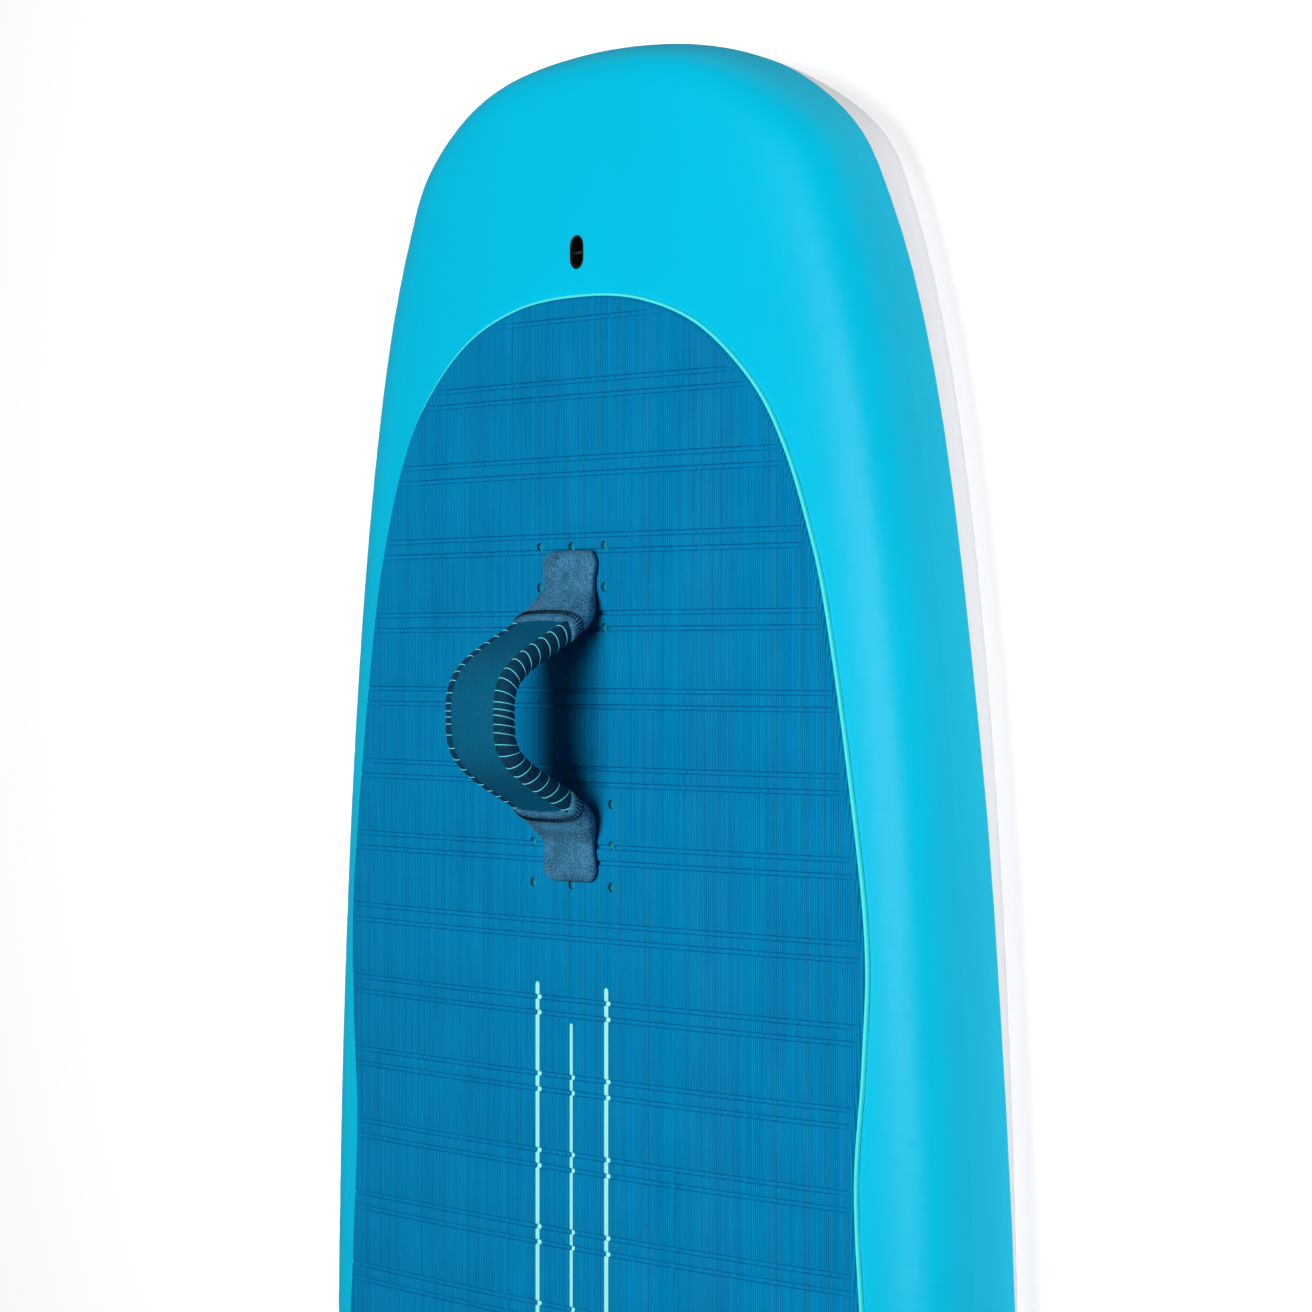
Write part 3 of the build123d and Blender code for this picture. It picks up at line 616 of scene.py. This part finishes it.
def strap_stations(start, end, count):
    """Even steps along the strap's centre line, each with its place and its tangent."""
    fine = [start + (end - start) * k / 600 for k in range(601)]
    lengths = [0.0]
    for a, b in zip(fine, fine[1:]):
        lengths.append(lengths[-1] + (strap_at(b) - strap_at(a)).length)
    out = []
    j = 0
    for k in range(count + 1):
        goal = lengths[-1] * k / count
        while j < 599 and lengths[j + 1] < goal:
            j += 1
        share = (goal - lengths[j]) / (lengths[j + 1] - lengths[j])
        d = fine[j] + share * (fine[j + 1] - fine[j])
        tangent = (strap_at(d + 0.0005) - strap_at(d - 0.0005)).normalized()
        out.append((d, goal, strap_at(d), tangent))
    return out, lengths[-1]


def upright(tangent):
    """Normal of the strap in its side view, pointing away from the board."""
    return Vector((-tangent.z, 0, tangent.x))


def thread_places(draw, length):
    """Where thread goes round a padded edge, closer together over the top, and how far each turn leans."""
    places = []
    s = 3 * MM
    while s < length - 3 * MM:
        places.append((s, draw.uniform(1.2, 3.4) * MM))
        crowding = THREAD_CROWDING * math.exp(-(((s - length / 2) / (45 * MM)) ** 2))
        s += THREAD_PITCH - crowding + draw.uniform(-1.1, 1.1) * MM
    return places


def roll_radius(d):
    return ROLL * (1 - 0.06 * smoothstep(56 * MM, 71 * MM, abs(d)))


def make_roll(side, y):
    """A padded edge, pinched where the thread goes round it."""
    draw = random.Random(7 if y > 0 else 11)
    stations, length = strap_stations(-ARCH_HALF, ARCH_HALF, 300)
    places = thread_places(draw, length)
    rings = []
    for d, s, centre, tangent in stations:
        normal = upright(tangent)
        ring = []
        for k in range(28):
            angle = 2 * math.pi * k / 28
            near = min(abs(s - place - lean * math.sin(angle)) for place, lean in places)
            radius = roll_radius(d) - 0.7 * MM * math.exp(-((near / (1.1 * MM)) ** 2))
            ring.append(centre + Vector((0, y, 0)) + normal * math.sin(angle) * radius
                        + Vector((0, 1, 0)) * math.cos(angle) * radius)
        rings.append(ring)
    bm = bmesh.new()
    loft_into(bm, rings)
    roll = add_mesh(f"strap_edge_{side}", bm, MATERIALS["strap_roll"])
    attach(roll, "strap_arch")
    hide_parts(f"strap_roll_{side}")
    make_thread(side, y, stations, places)


def make_thread(side, y, stations, places):
    """One turn of thread at each pinch of a padded edge, leaning a little."""
    bm = bmesh.new()
    for place, lean in places:
        d, s, centre, tangent = min(stations, key=lambda item: abs(item[1] - place))
        normal = upright(tangent)
        radius = roll_radius(d) - 0.35 * MM
        rings = []
        for k in range(41):
            angle = 2 * math.pi * k / 40
            out = normal * math.sin(angle) + Vector((0, 1, 0)) * math.cos(angle)
            middle = centre + Vector((0, y, 0)) + out * radius + tangent * lean * math.sin(angle)
            rings.append([middle + out * THREAD * math.cos(a) + tangent * THREAD * math.sin(a)
                          for a in (2 * math.pi * j / 6 for j in range(6))])
        loft_into(bm, rings, closed_ends=False)
    thread = add_mesh(f"strap_thread_{side}", bm, MATERIALS["thread"])
    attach(thread, "strap_arch")
    dress(thread)


def make_panel():
    """The padded middle of the arch, crowned above and flat below."""
    stations, length = strap_stations(-ARCH_HALF, ARCH_HALF, 90)
    rings = []
    for d, s, centre, tangent in stations:
        normal = upright(tangent)
        ring = []
        for k in range(25):
            y = PANEL_HALF * (k / 12 - 1)
            up = PANEL_EDGE + PANEL_CROWN * (1 - (y / PANEL_HALF) ** 2)
            ring.append(centre + Vector((0, y, 0)) + normal * up)
        for k in range(9):
            ring.append(centre + Vector((0, PANEL_HALF * (1 - k / 4), 0)) - normal * 4.2 * MM)
        rings.append(ring)
    bm = bmesh.new()
    loft_into(bm, rings)
    panel = add_mesh("strap_face", bm, MATERIALS["strap_face"])
    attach(panel, "strap_arch")
    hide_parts("strap_panel", "strap_core")


def cover_ring(half, thick, rise, centre, tangent, count=64):
    """Section of an end cover: flat below where it lies on the pad, a waisted pill where it wraps the arch."""
    normal = upright(tangent)
    ring = []
    for k in range(count):
        angle = 2 * math.pi * k / count
        low = math.sin(angle) < 0
        y = half * math.copysign(abs(math.cos(angle)) ** (0.62 if not low else 0.3 + 0.32 * rise), math.cos(angle))
        up = thick * math.copysign(abs(math.sin(angle)) ** (0.7 if not low else 0.5 + 0.2 * rise), math.sin(angle))
        if low:
            up *= 1 - 0.3 * rise * (1 - (y / half) ** 2) ** 1.5
        ring.append(centre + Vector((0, y, 0)) + normal * up)
    return ring


def cover_size(d, s, length):
    """Half width, half thickness and share of rise of an end cover at a station."""
    rise = smoothstep(102 * MM, 76 * MM, d)
    half = 34 * MM - 3 * MM * math.exp(-(((d - 104 * MM) / (10 * MM)) ** 2)) + 7.8 * MM * rise
    thick = 3.8 * MM + 6.6 * MM * rise
    tip = min(1.0, s / (12 * MM))
    round_off = math.sqrt(1 - (1 - tip) ** 2)
    half -= 12 * MM * (1 - round_off)
    thick *= 0.4 + 0.6 * round_off
    band = smoothstep(length - 12.0 * MM, length - 11.0 * MM, s)
    return half + 0.4 * MM * band, thick + 0.5 * MM * band, rise


def slanted(ring, centre, thick, tangent, to_hem):
    """Leans a section near the hem, so that the hem reaches further up the arch on its outside."""
    lean = HEM_SLANT * smoothstep(26 * MM, 0, to_hem)
    normal = upright(tangent)
    return [point + tangent * lean * (point - centre).dot(normal) / thick for point in ring]


def make_cover(end, direction):
    """A stretch fabric cover from the flat end up to its hem on the arch."""
    stations, length = strap_stations(TAB_END, HEM - 1.5 * MM, 84)
    draw = random.Random(3 if direction > 0 else 5)
    waves = [(draw.uniform(120, 260), draw.uniform(0, 6)) for k in range(3)]
    rings = []
    for d, s, centre, tangent in stations:
        half, thick, rise = cover_size(d, s, length)
        calm = smoothstep(8 * MM, 20 * MM, length - s)
        puff = 1 + 0.022 * calm * rise * sum(math.sin(s * rate + phase) for rate, phase in waves)
        lift = thick + PAD_THICK - STRAP_BASE
        place = centre + Vector((0, -2.5 * MM * (1 - rise), lift * (1 - rise)))
        ring = cover_ring(half, thick * puff, rise, place, tangent)
        rings.append(slanted(ring, place, thick, tangent, length - s))
    last = rings[-1]
    middle = sum(last, Vector()) / len(last)
    for shrink, back in ((0.955, 0.0), (0.93, 1.5)):
        rings.append([middle + (p - middle) * shrink + stations[-1][3] * -back * MM for p in last])
    bm = bmesh.new()
    loft_into(bm, rings)
    cover = add_mesh(f"strap_end_cover_{end}", bm, MATERIALS["neoprene"])
    if direction < 0:
        flip_over(cover)
    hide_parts(f"strap_cover_{end}")
    blend_cover(cover)
    stitches(end, direction, stations)


def blend_cover(piece):
    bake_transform(piece)


def flip_over(piece):
    """Mirrors a piece to the other end of the strap."""
    middle = x_at(STRAP)
    for v in piece.data.vertices:
        v.co.x = 2 * middle - v.co.x
    piece.data.flip_normals()


def stitches(end, direction, stations):
    """A ladder of dark stitches round the hem."""
    total = stations[-1][1]
    bm = bmesh.new()
    upper = hem_curve(stations, total - 9.8 * MM, STITCHES)
    lower = hem_curve(stations, total - 2.4 * MM, STITCHES)
    for k in range(STITCHES):
        stitch(bm, upper[k], lower[k], 0.4 * MM)
        stitch(bm, upper[k], upper[(k + 1) % STITCHES], 0.3 * MM)
    piece = add_mesh(f"strap_hem_stitch_{end}", bm, MATERIALS["stitch"])
    if direction < 0:
        flip_over(piece)
    dress(piece)
    blend_cover(piece)


def hem_curve(stations, place, count):
    """Points round the cover a set distance along it."""
    d, s, centre, tangent = min(stations, key=lambda item: abs(item[1] - place))
    half, thick, rise = cover_size(d, s, stations[-1][1])
    ring = cover_ring(half + 0.6 * MM, thick + 0.6 * MM, rise, centre, tangent, 400)
    return spread(slanted(ring, centre, thick, tangent, stations[-1][1] - s), count)


def spread(ring, count):
    """Points spaced evenly round a closed ring."""
    closed = ring + ring[:1]
    gap = sum((b - a).length for a, b in zip(closed, closed[1:])) / count
    out = []
    travelled = 0.0
    for a, b in zip(closed, closed[1:]):
        step = (b - a).length
        while len(out) < count and len(out) * gap <= travelled + step:
            out.append(a.lerp(b, (len(out) * gap - travelled) / step))
        travelled += step
    return out


def stitch(bm, a, b, radius):
    """A short round-ended stitch between two points."""
    along = (b - a).normalized()
    side = along.orthogonal().normalized()
    other = along.cross(side)
    rings = []
    for share, size in ((0.0, 0.4), (0.12, 0.9), (0.5, 1.0), (0.88, 0.9), (1.0, 0.4)):
        middle = a + (b - a) * share
        rings.append([middle + (side * math.cos(t) + other * math.sin(t)) * radius * size
                      for t in (2 * math.pi * j / 6 for j in range(6))])
    loft_into(bm, rings)


def make_strap():
    for side, y in (("port", ROLL_OFFSET), ("starboard", -ROLL_OFFSET)):
        make_roll(side, y)
    make_panel()
    for end, direction in (("front", 1), ("rear", -1)):
        make_cover(end, direction)


# ---------------------------------------------------------------- studio

def make_camera():
    """Level with the deck's middle, turned off the deck towards the starboard rail, nose up in the picture."""
    right = Vector((0, -math.cos(VIEW_ANGLE), -math.sin(VIEW_ANGLE)))
    up = Vector((1, 0, 0))
    back = right.cross(up)
    centre = Vector((x_at(VIEW_STATION), 0, DECK))
    data = bpy.data.cameras.new("camera")
    data.lens = LENS
    data.clip_end = 40
    camera = bpy.data.objects.new("camera", data)
    bpy.context.collection.objects.link(camera)
    turn = Matrix((right, up, back)).transposed().to_4x4()
    camera.matrix_world = Matrix.Translation(centre + back * VIEW_DISTANCE + right * VIEW_ASIDE) @ turn
    bpy.context.scene.camera = camera


def add_light(name, place, target, size, power, colour=(1, 1, 1)):
    data = bpy.data.lights.new(name, "AREA")
    data.shape = "RECTANGLE"
    data.size, data.size_y = size
    data.energy = power
    data.color = colour
    light = bpy.data.objects.new(name, data)
    light.location = place
    aim = Vector(target) - Vector(place)
    light.rotation_euler = aim.to_track_quat("-Z", "Y").to_euler()
    bpy.context.collection.objects.link(light)


def make_studio():
    bm = bmesh.new()
    bmesh.ops.create_grid(bm, x_segments=2, y_segments=2, size=12)
    n = Nodes("studio_floor")
    glow = {"Emission_Color": (1, 1, 1, 1), "Emission_Strength": 0.38}
    floor = add_mesh("studio_floor", bm, n.finish(rgb(250, 250, 250), 0.9, **glow))
    floor.visible_glossy = False
    world = bpy.data.worlds.new("studio")
    world.use_nodes = True
    world.node_tree.nodes["Background"].inputs["Color"].default_value = (1, 1, 1, 1)
    world.node_tree.nodes["Background"].inputs["Strength"].default_value = 0.05
    bpy.context.scene.world = world
    add_light("key", (0.65, -0.5, 3.3), (0.45, 0, 0.1), (2.0, 2.0), 98)
    add_light("side", (0.3, -3.0, 0.9), (0.45, -0.3, 0.1), (2.4, 0.8), 4)
    bpy.context.scene.view_settings.view_transform = "Standard"


make_camera()
dress_cad()
make_pad()
make_strap()
make_studio()
